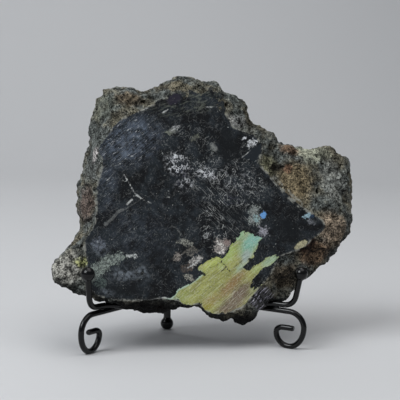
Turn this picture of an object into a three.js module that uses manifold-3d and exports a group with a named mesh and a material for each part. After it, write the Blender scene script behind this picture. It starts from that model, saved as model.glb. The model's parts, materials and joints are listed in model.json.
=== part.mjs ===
// A polished nuummite on a black wire stand. Millimetres, +Z up, the table at Z = 0.
// The polished face looks along -Y and leans back; the stand's V opens to the front.

import * as THREE from 'three';
import { mergeVertices } from 'three/addons/utils/BufferGeometryUtils.js';
import Module from 'manifold-3d';

const wasm = await Module();
wasm.setup();

const degree = Math.PI / 180;

// Stand
const wireRadius = 1.5;
const wireSides = 10;
const wireStep = 2.4;            // length of one facet along a bent rod
const spreadHalfAngle = 48 * degree;
const runHeight = 20.3;          // axis of the level part of each leg
const runStart = 1.8;            // where a leg ends at the rear post
const runEnd = 71.5;
const kneeReach = 8.9;           // first bend of the leg, outward
const kneeDrop = 8.5;            // and downward
const scrollBottom = 72.5;       // distance out to the lowest point of the scroll
const scrollInner = 65;          // innermost point of the curl
const scrollInnerHeight = 8.8;
const curlTop = 68.8;
const curlTopHeight = 11.4;
const stubEnd = 74.8;
const armBack = 41;              // where the arm's level part begins
const armBend = 74;
const armBendRadius = 6;         // where the bend begins, back from its corner
const armTip = 76.9;             // ball of the arm: distance out, height
const armTipHeight = 41.3;
const armGap = 0.35;             // between an arm and its leg
const ballRadius = 3.6;
const ballGap = 0.35;            // between a ball and the rod in its socket
const rodInset = 1.2;            // a rod stops this far short of its ball's centre
const postRadius = 2;
const postFootY = 1.3;
const postTopY = 7;
const postTopHeight = 84;
const filedFlat = 0.35;          // how deep the feet are filed flat

// Stone
const lean = 15 * degree;        // the polished face leans back by this
const faceOrigin = new THREE.Vector3(0, -36.1, 80);
const thickness = 38;            // at the middle
const middleRadius = 52;         // the back's inner lines of points tend to circles of this
const backRimDepth = 27;         // depth of the back edge, without what the girth adds
const around = 156;              // points round the outline
const lumpHeights = [4.4, 3.2, 2]; // broad lumps, creases and chips of the broken surface
const lumpSizes = [17, 9, 4.5];
const seatHeight = 25.7;         // how low the stone may come above a leg and its arm
const seatHalfWidth = 4.3;
const seatSlope = 1.6;           // and how it may fall away beside them
const stoneGap = 0.5;            // between the stone and what it leans on

const blackPaint = new THREE.MeshStandardMaterial({ color: 0x15151a, roughness: 0.42, metalness: 0 });
const darkStone = new THREE.MeshStandardMaterial({ color: 0x23262b, roughness: 0.35, metalness: 0 });

// Edge of the polished face: across, up.
const polishedEdge = [
  [-51, 22.5], [-48, 27.5], [-44.5, 31.5], [-42, 35], [-38, 39], [-32.5, 41.5], [-26, 45], [-22, 47],
  [-16.5, 51.5], [-11.5, 54.5], [5.5, 58], [12, 58.5], [15.5, 57], [18, 53.5], [19, 48], [21, 41.5],
  [23.5, 37.5], [28.5, 35.5], [35.5, 33.5], [40, 28.5], [39.5, 24.5], [36.5, 19], [40.5, 14.5],
  [52, 3], [59.5, -3.5], [65, -7], [72.5, -11], [75, -15.5], [71.5, -19.5], [66.5, -22],
  [62.5, -26.5], [54.5, -29.5], [47, -32], [44, -37], [41, -42.5], [36.5, -47], [28.5, -55],
  [26, -58], [16.5, -62], [10.5, -62], [5, -60], [2.5, -56], [-1.5, -57], [-6.5, -57], [-9.5, -54.5],
  [-17.5, -53.5], [-28, -54.5], [-40, -54], [-52, -52], [-56, -48], [-57, -41.5], [-56, -36.5],
  [-58, -25.5], [-55.5, -20.5], [-53, -17.5], [-51.5, -12], [-51, 4], [-48, 14], [-47.5, 17],
];

// Widest line of the rough sides: across, up, depth behind the face.
const girthLine = [
  [-44.5, 58.5, 14], [-48, 51, 20], [-47.5, 46.5, 22], [-49, 43, 24], [-50.5, 37, 26], [-49.5, 30.5, 26],
  [-52, 26, 26], [-52.5, 20.5, 26], [-56.5, 7.5, 26], [-55.5, 2, 26], [-57, -3, 26], [-55, -13.5, 24],
  [-62, -25.5, 20], [-67, -29, 16], [-70.5, -34.5, 14], [-72.5, -39.5, 13], [-71, -44, 13],
  [-67.5, -46.5, 13], [-55, -50.5, 12], [-46.5, -54.5, 12], [-32, -57.5, 12], [-26, -60, 12],
  [-15.5, -60.5, 11], [-4.5, -57.5, 8], [4, -57.5, 5], [8, -62, 7], [12.5, -64.5, 8], [17.5, -65.5, 8],
  [20.5, -63, 8], [24, -65, 9], [27.5, -68, 10], [34, -65, 10], [42.5, -60, 12], [54.5, -55, 13],
  [64, -45, 13], [74, -39, 15], [82, -33, 16], [97, -16, 19], [99.5, -7, 20], [100, 0.5, 20],
  [101.5, 12, 20], [99.5, 24, 20], [95, 28.5, 19], [86.5, 33.5, 17], [77, 32, 15], [69, 29.5, 14],
  [67, 32, 14], [53, 33.5, 13], [51, 36.5, 12], [42, 42.5, 12], [37.5, 44.5, 12], [38, 46.5, 12],
  [36, 54, 12], [28.5, 58.5, 12], [19.5, 61, 11], [19.5, 64, 12], [17.5, 65, 12], [4, 65, 12],
  [1.5, 67, 12], [-4, 67, 12], [-12.5, 62, 12], [-20, 59, 12], [-25, 57, 12], [-32.5, 59, 12],
];

// Radius, and depth where there is one, of a closed outline at one angle round the face's middle.
function outlineAt(outline, angle) {
  const ray = [Math.cos(angle), Math.sin(angle)];
  for (let i = 0; i < outline.length; i += 1) {
    const a = outline[i];
    const b = outline[(i + 1) % outline.length];
    const sideA = ray[0] * a[1] - ray[1] * a[0];
    const sideB = ray[0] * b[1] - ray[1] * b[0];
    const share = sideA / (sideA - sideB);
    const across = a[0] + (b[0] - a[0]) * share;
    const up = a[1] + (b[1] - a[1]) * share;
    if (sideA * sideB <= 0 && across * ray[0] + up * ray[1] > 0) {
      const depth = a.length > 2 ? a[2] + (b[2] - a[2]) * share : 0;
      return { radius: Math.hypot(across, up), depth };
    }
  }
  throw new Error('the outline does not close round its middle');
}

function latticeValue(x, y, z) {
  let h = (x * 374761393 + y * 668265263 + z * 2147483647) | 0;
  h = Math.imul(h ^ (h >>> 13), 1274126177);
  return ((h ^ (h >>> 16)) >>> 0) / 4294967295 - 0.5;
}

// Smooth lumps between -0.5 and 0.5, one about every size millimetres.
function lumps(point, size) {
  const cell = [point.x / size, point.y / size, point.z / size];
  const low = cell.map(Math.floor);
  const ease = cell.map((c, i) => (c - low[i]) ** 2 * (3 - 2 * (c - low[i])));
  let sum = 0;
  for (let corner = 0; corner < 8; corner += 1) {
    const step = [corner & 1, (corner >> 1) & 1, (corner >> 2) & 1];
    const weight = step.reduce((w, s, i) => w * (s ? ease[i] : 1 - ease[i]), 1);
    sum += weight * latticeValue(low[0] + step[0], low[1] + step[1], low[2] + step[2]);
  }
  return sum;
}

// How far a broken surface stands out at a place: broad lumps, creases and small chips.
function brokenSurface(place) {
  const broad = lumps(place, lumpSizes[0]) - 0.2;
  const creased = 0.35 - 1.6 * Math.abs(lumps(place, lumpSizes[1]));
  const chipped = lumps(place, lumpSizes[2]) - 0.1;
  return lumpHeights[0] * broad + lumpHeights[1] * creased + lumpHeights[2] * chipped;
}

// The stone as closed lines of points, from the polished face over the sides to the back's
// middle. Each line says how many points it has and gives radius, depth and how rough it is.
function stoneRings() {
  const atAngle = describe => angle => {
    const edge = outlineAt(polishedEdge, angle).radius;
    const girth = outlineAt(girthLine, angle);
    const backDepth = backRimDepth + 0.25 * girth.depth;
    const backRadius = girth.radius - 5 - 0.35 * (backDepth - girth.depth);
    return describe({ edge, girth, backDepth, backRadius });
  };
  const ring = (count, describe) => ({ count, at: atAngle(describe) });
  const rings = [
    ring(around / 2, ({ edge }) => [edge * 0.5, 0, 0]),
    ring(around, ({ edge }) => [edge, 0, 0]),
  ];
  for (const t of [0.1, 0.24, 0.4, 0.56, 0.72, 0.87]) {
    const turn = t * Math.PI / 2;
    rings.push(ring(around, ({ edge, girth }) => [
      edge + (girth.radius - edge) * Math.sin(turn),
      girth.depth * (1 - Math.cos(turn)),
      1 - 0.7 * t ** 3,
    ]));
  }
  rings.push(ring(around, ({ girth }) => [girth.radius, girth.depth, 0.15]));
  for (const t of [0.25, 0.5, 0.75, 1]) {
    rings.push(ring(around, ({ girth, backDepth, backRadius }) => [
      girth.radius + (backRadius - girth.radius) * t ** 1.3,
      girth.depth + (backDepth - girth.depth) * t,
      0.4 + 0.6 * t,
    ]));
  }
  const back = (count, share) => ring(count, ({ backDepth, backRadius }) => [
    middleRadius * share + (backRadius - middleRadius) * share ** 2,
    thickness - (thickness - backDepth) * share ** 3,
    1,
  ]);
  const halved = [0.93, 0.86, 0.79, 0.72, 0.65, 0.58, 0.51];
  const quartered = [0.44, 0.36, 0.28, 0.2, 0.11];
  return [
    ...rings,
    ...halved.map(share => back(around / 2, share)),
    ...quartered.map(share => back(around / 4, share)),
  ];
}

// Joins two lines of points with triangles. One may have twice as many points as the other.
function stitch(first, second, faces) {
  const fewer = Math.min(first.count, second.count);
  const firstStep = first.count / fewer;
  const secondStep = second.count / fewer;
  const onFirst = i => first.start + (i % first.count);
  const onSecond = i => second.start + (i % second.count);
  for (let i = 0; i < fewer; i += 1) {
    const a = i * firstStep;
    const b = i * secondStep;
    if (firstStep === 2) faces.push(onFirst(a), onSecond(b), onFirst(a + 1));
    faces.push(onFirst(a + firstStep - 1), onSecond(b), onSecond(b + 1));
    if (secondStep === 2) faces.push(onFirst(a), onSecond(b + 1), onSecond(b + 2));
    faces.push(onFirst(a + firstStep - 1), onSecond(b + secondStep), onFirst(a + firstStep));
  }
}

// A place given across and up the polished face and behind it.
function onFace(across, up, depth) {
  const y = up * Math.sin(lean) + depth * Math.cos(lean);
  const z = up * Math.cos(lean) - depth * Math.sin(lean);
  return new THREE.Vector3(across, y, z).add(faceOrigin);
}

// Lifts a point of the stone's underside above the rods that it lies on. The room that they
// take is a ridge along each leg, with its crest between the leg and the arm beside it.
function liftOverRods(point) {
  const sideways = Math.abs(point.x);
  const along = sideways * Math.sin(spreadHalfAngle) - point.y * Math.cos(spreadHalfAngle);
  const inward = -sideways * Math.cos(spreadHalfAngle) - point.y * Math.sin(spreadHalfAngle);
  if (along > armBend + 2 * wireRadius) return;
  const beside = Math.max(0, Math.abs(inward - wireRadius) - seatHalfWidth);
  point.z = Math.max(point.z, seatHeight - seatSlope * beside);
}

// Pushes a point of the stone out of the room that a rod or ball of the stand takes.
function clearOf(point, obstacles) {
  for (const { places, radius } of obstacles) {
    for (const place of places) {
      const away = point.clone().sub(place);
      if (away.length() < radius) {
        point.copy(place).addScaledVector(away.normalize(), radius);
      }
    }
  }
}

function stoneGeometry(obstacles) {
  const places = [onFace(0, 0, 0)];
  const roughness = [0];
  const laid = [];
  for (const { count, at } of stoneRings()) {
    laid.push({ start: places.length, count });
    for (let i = 0; i < count; i += 1) {
      const angle = i * 2 * Math.PI / count;
      const [radius, depth, rough] = at(angle);
      places.push(onFace(radius * Math.cos(angle), radius * Math.sin(angle), depth));
      roughness.push(rough);
    }
  }
  places.push(onFace(0, 0, thickness));
  roughness.push(1);

  const faces = [];
  const innermost = laid[0];
  for (let i = 0; i < innermost.count; i += 1) {
    faces.push(0, innermost.start + i, innermost.start + (i + 1) % innermost.count);
  }
  for (let k = 1; k < laid.length; k += 1) stitch(laid[k - 1], laid[k], faces);
  const outermost = laid[laid.length - 1];
  for (let i = 0; i < outermost.count; i += 1) {
    faces.push(places.length - 1, outermost.start + (i + 1) % outermost.count, outermost.start + i);
  }

  const geometry = new THREE.BufferGeometry().setFromPoints(places);
  geometry.setIndex(faces);
  geometry.computeVertexNormals();
  const outward = new THREE.Vector3();
  places.forEach((place, i) => {
    outward.fromBufferAttribute(geometry.attributes.normal, i);
    place.addScaledVector(outward, roughness[i] * brokenSurface(place));
    if (roughness[i] > 0) {
      liftOverRods(place);
      clearOf(place, obstacles);
    }
  });
  geometry.setFromPoints(places);
  geometry.deleteAttribute('normal');
  return geometry;
}

// A bend in the leg's upright plane: a quarter of an ellipse, centred at (out, up).
class QuarterBend extends THREE.Curve {
  constructor(heading, out, up, reach, rise, fromAngle, toAngle) {
    super();
    Object.assign(this, { heading, out, up, reach, rise, fromAngle, toAngle });
  }

  getPoint(t, target = new THREE.Vector3()) {
    const angle = this.fromAngle + (this.toAngle - this.fromAngle) * t;
    const out = this.out + this.reach * Math.cos(angle);
    const up = this.up + this.rise * Math.sin(angle);
    return target.copy(this.heading).multiplyScalar(out).setZ(up);
  }
}

const legHeading = side => new THREE.Vector3(side * Math.sin(spreadHalfAngle), -Math.cos(spreadHalfAngle), 0);

const legPoint = (heading, out, up) => heading.clone().multiplyScalar(out).setZ(up);

function legPath(side) {
  const heading = legHeading(side);
  const kneeHeight = runHeight - kneeDrop;
  const outermost = runEnd + kneeReach;
  const path = new THREE.CurvePath();
  path.add(new THREE.LineCurve3(legPoint(heading, runStart, runHeight), legPoint(heading, runEnd, runHeight)));
  path.add(new QuarterBend(heading, runEnd, kneeHeight, kneeReach, kneeDrop, 90 * degree, 0));
  path.add(new QuarterBend(heading, scrollBottom, kneeHeight, outermost - scrollBottom,
    kneeHeight - wireRadius, 0, -90 * degree));
  path.add(new QuarterBend(heading, scrollBottom, scrollInnerHeight, scrollBottom - scrollInner,
    scrollInnerHeight - wireRadius, -90 * degree, -180 * degree));
  path.add(new QuarterBend(heading, curlTop, scrollInnerHeight, curlTop - scrollInner,
    curlTopHeight - scrollInnerHeight, 180 * degree, 90 * degree));
  path.add(new THREE.LineCurve3(legPoint(heading, curlTop, curlTopHeight),
    legPoint(heading, stubEnd, curlTopHeight)));
  return path;
}

// The level part of an arm: beside the leg's inner edge at the back, on top of it in front.
class ArmRun extends THREE.Curve {
  constructor(side) {
    super();
    this.heading = legHeading(side);
    this.inward = new THREE.Vector3(-side * Math.cos(spreadHalfAngle), -Math.sin(spreadHalfAngle), 0);
  }

  getPoint(t, target = new THREE.Vector3()) {
    const out = armBack + (armBend - armBendRadius - armBack) * t;
    const climb = (90 * t * t * (3 - 2 * t)) * degree;
    const apart = 2 * wireRadius + armGap;
    target.copy(this.heading).multiplyScalar(out).setZ(runHeight);
    target.addScaledVector(this.inward, apart * Math.cos(climb));
    target.z += apart * Math.sin(climb);
    return target;
  }
}

const armBallCentre = side => legPoint(legHeading(side), armTip, armTipHeight);

const armBendCorner = side => legPoint(legHeading(side), armBend, runHeight + 2 * wireRadius + armGap);

function armPath(side) {
  const bend = armBendCorner(side);
  const tip = armBallCentre(side);
  const beforeBend = bend.clone().addScaledVector(legHeading(side), -armBendRadius);
  const afterBend = bend.clone().lerp(tip, armBendRadius / bend.distanceTo(tip));
  const rodEnd = tip.clone().lerp(bend, rodInset / bend.distanceTo(tip));
  const path = new THREE.CurvePath();
  path.add(new ArmRun(side));
  path.add(new THREE.QuadraticBezierCurve3(beforeBend, bend, afterBend));
  path.add(new THREE.LineCurve3(afterBend, rodEnd));
  return path;
}

function roundSection(radius, sides) {
  const corners = [];
  for (let i = 0; i < sides; i += 1) {
    const angle = (i + 0.5) * 2 * Math.PI / sides;
    corners.push(new THREE.Vector2(radius * Math.cos(angle), radius * Math.sin(angle)));
  }
  return new THREE.Shape(corners);
}

function rodAlong(path, radius) {
  const steps = path instanceof THREE.LineCurve3 ? 1 : Math.round(path.getLength() / wireStep);
  return new THREE.ExtrudeGeometry(roundSection(radius, wireSides), { steps, extrudePath: path });
}

function toSolid(geometry) {
  const bare = geometry.clone();
  for (const name of Object.keys(bare.attributes)) {
    if (name !== 'position') bare.deleteAttribute(name);
  }
  const merged = mergeVertices(bare, 1e-4);
  return new wasm.Manifold(new wasm.Mesh({
    numProp: 3,
    vertProperties: new Float32Array(merged.attributes.position.array),
    triVerts: new Uint32Array(merged.index.array),
  }));
}

function toGeometry(solid) {
  const mesh = solid.getMesh();
  const geometry = new THREE.BufferGeometry();
  geometry.setAttribute('position', new THREE.BufferAttribute(mesh.vertProperties, 3));
  geometry.setIndex(new THREE.BufferAttribute(mesh.triVerts, 1));
  return geometry;
}

// Files the underside of a foot flat, so that it stands on a real flat.
function withFiledFoot(geometry) {
  const slab = new THREE.BoxGeometry(400, 400, 20);
  slab.translate(0, 0, filedFlat - 10);
  return toGeometry(toSolid(geometry).subtract(toSolid(slab)));
}

// A ball tip with a round socket for the rod that carries it.
function ballGeometry(centre, towardsRod, rodRadius) {
  const ball = new THREE.SphereGeometry(ballRadius, 14, 9);
  ball.rotateX(Math.PI / 2);
  ball.translate(centre.x, centre.y, centre.z);
  const bore = rodRadius + ballGap;
  const socket = new THREE.CylinderGeometry(bore, bore, 2 * ballRadius, 10);
  socket.rotateX(Math.PI / 2);
  socket.translate(0, 0, ballRadius + rodInset - ballGap);
  const turn = new THREE.Quaternion().setFromUnitVectors(new THREE.Vector3(0, 0, 1), towardsRod);
  socket.applyQuaternion(turn);
  socket.translate(centre.x, centre.y, centre.z);
  return toGeometry(toSolid(ball).subtract(toSolid(socket)));
}

const footBallCentre = new THREE.Vector3(0, postFootY, ballRadius);
const topBallCentre = new THREE.Vector3(0, postTopY, postTopHeight);

function postPath() {
  const along = topBallCentre.clone().sub(footBallCentre).normalize();
  return new THREE.LineCurve3(
    footBallCentre.clone().addScaledVector(along, rodInset),
    topBallCentre.clone().addScaledVector(along, -rodInset),
  );
}

// What the stone keeps clear of besides the level rods: the arms' upright ends, the balls and
// the rear post, as points along each.
function standObstacles() {
  const alongRod = (from, to, radius) => ({
    places: new THREE.LineCurve3(from, to).getSpacedPoints(Math.ceil(from.distanceTo(to))),
    radius: radius + stoneGap,
  });
  const ball = centre => ({ places: [centre], radius: ballRadius + stoneGap });
  return [
    ...[-1, 1].flatMap(side => [
      alongRod(armBendCorner(side), armBallCentre(side), wireRadius),
      ball(armBallCentre(side)),
    ]),
    alongRod(footBallCentre, topBallCentre, postRadius),
    ball(topBallCentre),
  ];
}

function armBallGeometry(side) {
  const centre = armBallCentre(side);
  return ballGeometry(centre, armBendCorner(side).sub(centre).normalize(), wireRadius);
}

function named(name, geometry, material) {
  const mesh = new THREE.Mesh(geometry, material);
  mesh.name = name;
  return mesh;
}

const part = new THREE.Group();
part.add(named('stone', stoneGeometry(standObstacles()), darkStone));
for (const [word, side] of [['left', -1], ['right', 1]]) {
  part.add(named(`${word}_leg`, withFiledFoot(rodAlong(legPath(side), wireRadius)), blackPaint));
  part.add(named(`${word}_arm`, rodAlong(armPath(side), wireRadius), blackPaint));
  part.add(named(`${word}_arm_ball`, armBallGeometry(side), blackPaint));
}
const upThePost = topBallCentre.clone().sub(footBallCentre).normalize();
part.add(named('back_post', rodAlong(postPath(), postRadius), blackPaint));
part.add(named('back_post_ball',
  ballGeometry(topBallCentre, upThePost.clone().negate(), postRadius), blackPaint));
part.add(named('rear_foot_ball',
  withFiledFoot(ballGeometry(footBallCentre, upThePost, postRadius)), blackPaint));

// The origin is under the middle of the part, on the table.
const bounds = new THREE.Box3().setFromObject(part);
const middle = bounds.getCenter(new THREE.Vector3());
part.position.set(-middle.x, -middle.y, -bounds.min.z);

export default part;
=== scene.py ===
# A polished nuummite on a black wire stand, in metres with +Z up.
import json
import math
import bmesh
import bpy
import numpy as np
from mathutils import Matrix, Vector


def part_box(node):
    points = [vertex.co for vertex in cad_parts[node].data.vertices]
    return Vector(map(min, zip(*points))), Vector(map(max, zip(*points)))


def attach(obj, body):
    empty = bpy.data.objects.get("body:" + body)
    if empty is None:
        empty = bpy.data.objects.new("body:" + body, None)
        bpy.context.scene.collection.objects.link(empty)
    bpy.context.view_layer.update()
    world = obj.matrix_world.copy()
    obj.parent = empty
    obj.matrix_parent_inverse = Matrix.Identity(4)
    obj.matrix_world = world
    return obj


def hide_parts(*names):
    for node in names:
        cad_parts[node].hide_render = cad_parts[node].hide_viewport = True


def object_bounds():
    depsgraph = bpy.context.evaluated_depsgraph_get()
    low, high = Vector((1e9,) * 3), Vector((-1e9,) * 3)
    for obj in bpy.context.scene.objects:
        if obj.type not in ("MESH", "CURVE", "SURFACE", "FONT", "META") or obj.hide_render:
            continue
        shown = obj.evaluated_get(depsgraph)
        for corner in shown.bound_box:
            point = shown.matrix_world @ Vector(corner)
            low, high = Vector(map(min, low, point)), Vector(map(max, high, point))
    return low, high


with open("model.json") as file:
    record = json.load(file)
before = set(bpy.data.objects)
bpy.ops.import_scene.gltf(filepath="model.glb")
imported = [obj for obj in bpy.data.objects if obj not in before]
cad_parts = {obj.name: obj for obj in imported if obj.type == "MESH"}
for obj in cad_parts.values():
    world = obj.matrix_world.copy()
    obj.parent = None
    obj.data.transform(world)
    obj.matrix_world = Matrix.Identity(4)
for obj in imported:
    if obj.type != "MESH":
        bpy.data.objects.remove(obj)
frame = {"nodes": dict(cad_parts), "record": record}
cadLow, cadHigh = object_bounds()
print("frame loaded")

mm = 0.001
lean = math.radians(15)                                    # the polished face leans back
faceUp = Vector((0, math.sin(lean), math.cos(lean)))
faceOut = Vector((0, -math.cos(lean), math.sin(lean)))
labelSpot = next(m["pos_m"] for m in frame["record"]["mounts"] if m["name"] == "polished_face")
faceMiddle = Vector(labelSpot) + 15 * mm * faceUp          # the face's middle is 15 mm above it
footBallLow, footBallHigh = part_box("rear_foot_ball")

# Camera, floor and lights

viewpoint = {
    "fromFaceMiddle": Vector((-0.15863, -0.51537, 0.0522)),
    "turn": math.radians(17.51),                           # towards +X from looking along +Y
    "down": math.radians(5.75),
    "roll": math.radians(2.96),
    "lens": 93.3,
}
floorSize = {"radius": 6.0, "back": 1.7, "bend": 0.7, "top": 3.2}
lamps = {
    "window": {"place": (-1.15, -0.55, 1.15), "width": 0.9, "watts": 21.0, "tint": (0.95, 0.98, 1.0)},
    "ceiling": {"place": (0.25, -0.35, 1.7), "width": 1.4, "watts": 11.0, "tint": (1.0, 0.99, 0.97)},
    "washBehind": {"place": (0.3, 0.9, 2.2), "width": 1.0, "watts": 9.0, "tint": (0.97, 0.99, 1.0),
                   "aim": (0.3, 1.9, 0.5)},
}
skyLight = {"tint": (0.82, 0.88, 0.95), "strength": 0.20}


def setCamera():
    turn, down, roll = viewpoint["turn"], viewpoint["down"], viewpoint["roll"]
    ahead = Vector((math.sin(turn) * math.cos(down), math.cos(turn) * math.cos(down), -math.sin(down)))
    level = Vector((math.cos(turn), -math.sin(turn), 0))
    upright = level.cross(ahead)
    right = level * math.cos(roll) + upright * math.sin(roll)
    up = upright * math.cos(roll) - level * math.sin(roll)
    camera = bpy.data.objects.new("camera", bpy.data.cameras.new("camera"))
    bpy.context.scene.collection.objects.link(camera)
    camera.data.lens = viewpoint["lens"]
    turned = Matrix((right, up, -ahead)).transposed().to_4x4()
    camera.matrix_world = Matrix.Translation(faceMiddle + viewpoint["fromFaceMiddle"]) @ turned
    bpy.context.scene.camera = camera


def newPiece(name, mesh, finish=None):
    piece = bpy.data.objects.new(name, mesh)
    bpy.context.scene.collection.objects.link(piece)
    if finish is not None:
        mesh.materials.clear()
        mesh.materials.append(finish)
    return piece


def meshFrom(name, places, faces):
    mesh = bpy.data.meshes.new(name)
    mesh.from_pydata([tuple(p) for p in places], [], faces)
    mesh.update()
    return mesh


def layFloor():
    reach, back, curve = floorSize["radius"], floorSize["back"], floorSize["bend"]
    section = [(-reach, 0.0)]
    for step in range(17):
        angle = step / 16 * math.pi / 2
        section.append((back - curve + curve * math.sin(angle), curve - curve * math.cos(angle)))
    section.append((back, floorSize["top"]))
    places = [(side * reach, y, z) for y, z in section for side in (-1, 1)]
    faces = [(2 * i, 2 * i + 1, 2 * i + 3, 2 * i + 2) for i in range(len(section) - 1)]
    plaster = bpy.data.materials.new("pale_floor")
    plaster.use_nodes = True
    shader = plaster.node_tree.nodes["Principled BSDF"]
    shader.inputs["Base Color"].default_value = (0.60, 0.60, 0.61, 1)
    shader.inputs["Roughness"].default_value = 0.7
    floor = newPiece("floor", meshFrom("floor", places, faces), plaster)
    floor.data.shade_smooth()


def setLights():
    for name, lamp in lamps.items():
        light = bpy.data.lights.new(name, "AREA")
        light.size = lamp["width"]
        light.energy = lamp["watts"]
        light.color = lamp["tint"]
        holder = bpy.data.objects.new(name, light)
        bpy.context.scene.collection.objects.link(holder)
        holder.location = lamp["place"]
        aim = Vector(lamp.get("aim", faceMiddle)) - holder.location
        holder.rotation_euler = aim.to_track_quat("-Z", "Y").to_euler()
    world = bpy.data.worlds.new("soft_room")
    world.use_nodes = True
    background = world.node_tree.nodes["Background"]
    background.inputs["Color"].default_value = (*skyLight["tint"], 1)
    background.inputs["Strength"].default_value = skyLight["strength"]
    bpy.context.scene.world = world
    bpy.context.scene.view_settings.view_transform = "Standard"


setCamera()
layFloor()
setLights()
print("camera, floor and lights set")


# Node building


class Socket:
    # One output of a node. Sums on it add Math nodes.
    def __init__(self, tree, socket):
        self.tree = tree
        self.socket = socket

    def also(self, name):
        return Socket(self.tree, self.socket.node.outputs[name])

    def __add__(self, other):
        return self.tree.math("ADD", self, other)

    def __sub__(self, other):
        return self.tree.math("SUBTRACT", self, other)

    def __rsub__(self, other):
        return self.tree.math("SUBTRACT", other, self)

    def __mul__(self, other):
        return self.tree.math("MULTIPLY", self, other)

    def __rtruediv__(self, other):
        return self.tree.math("DIVIDE", other, self)

    def __pow__(self, other):
        return self.tree.math("POWER", self, other)

    __radd__ = __add__
    __rmul__ = __mul__

    def most(self, other):
        return self.tree.math("MAXIMUM", self, other)

    def least(self, other):
        return self.tree.math("MINIMUM", self, other)

    def size(self):
        return self.tree.math("ABSOLUTE", self)

    def eased(self, low, high, out=(0.0, 1.0)):
        return self.tree.make("ShaderNodeMapRange", {"interpolation_type": "SMOOTHSTEP"},
                              {"Value": self, "From Min": low, "From Max": high,
                               "To Min": out[0], "To Max": out[1]})


class Tree:
    def __init__(self, nodeTree):
        self.nodes = nodeTree.nodes
        self.links = nodeTree.links

    def make(self, kind, settings=None, sockets=None, output=0):
        # Any node: its settings first, then the values or links of its sockets.
        node = self.nodes.new(kind)
        for key, value in (settings or {}).items():
            setattr(node, key, value)
        for key, value in (sockets or {}).items():
            self.feed(node.inputs[key], value)
        return Socket(self, node.outputs[output])

    def feed(self, target, value):
        if isinstance(value, Socket):
            self.links.new(value.socket, target)
        else:
            target.default_value = value

    def math(self, operation, first, second=0.0):
        return self.make("ShaderNodeMath", {"operation": operation}, {0: first, 1: second})

    def vector(self, operation, first, second, output=0):
        slot = 3 if operation == "SCALE" else 1
        return self.make("ShaderNodeVectorMath", {"operation": operation}, {0: first, slot: second}, output)


def strongest(masks):
    # Several masks laid over each other.
    masks = iter(masks)
    total = next(masks)
    for mask in masks:
        total = total.most(mask)
    return total


def newGroup(name, inputs):
    # A Geometry Nodes tree that changes one geometry, with its named inputs.
    group = bpy.data.node_groups.new(name, "GeometryNodeTree")
    face = group.interface
    face.new_socket("Geometry", in_out="INPUT", socket_type="NodeSocketGeometry")
    for label, kind in inputs.items():
        face.new_socket(label, in_out="INPUT", socket_type="NodeSocket" + kind)
    face.new_socket("Finish", in_out="INPUT", socket_type="NodeSocketMaterial")
    face.new_socket("Geometry", in_out="OUTPUT", socket_type="NodeSocketGeometry")
    tree = Tree(group)
    return group, tree, tree.make("NodeGroupInput")


def endGroup(tree, given, geometry):
    whole = tree.make("GeometryNodeRealizeInstances", sockets={"Geometry": geometry})
    painted = tree.make("GeometryNodeSetMaterial", sockets={
        "Geometry": whole, "Material": given.also("Finish")})
    tree.links.new(painted.socket, tree.nodes.new("NodeGroupOutput").inputs[0])


def tone(red, green, blue):
    # A colour as it shows on a screen, 0 to 255, in scene units.
    def linear(value):
        value /= 255
        return value / 12.92 if value < 0.04045 else ((value + 0.055) / 1.055) ** 2.4
    return (linear(red), linear(green), linear(blue), 1.0)


ovalDepth = 14.0                       # millimetres that an oval of colour reaches into the stone
seedStep = 7.31                        # between one seed's noise and the next in the fourth dimension


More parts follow.
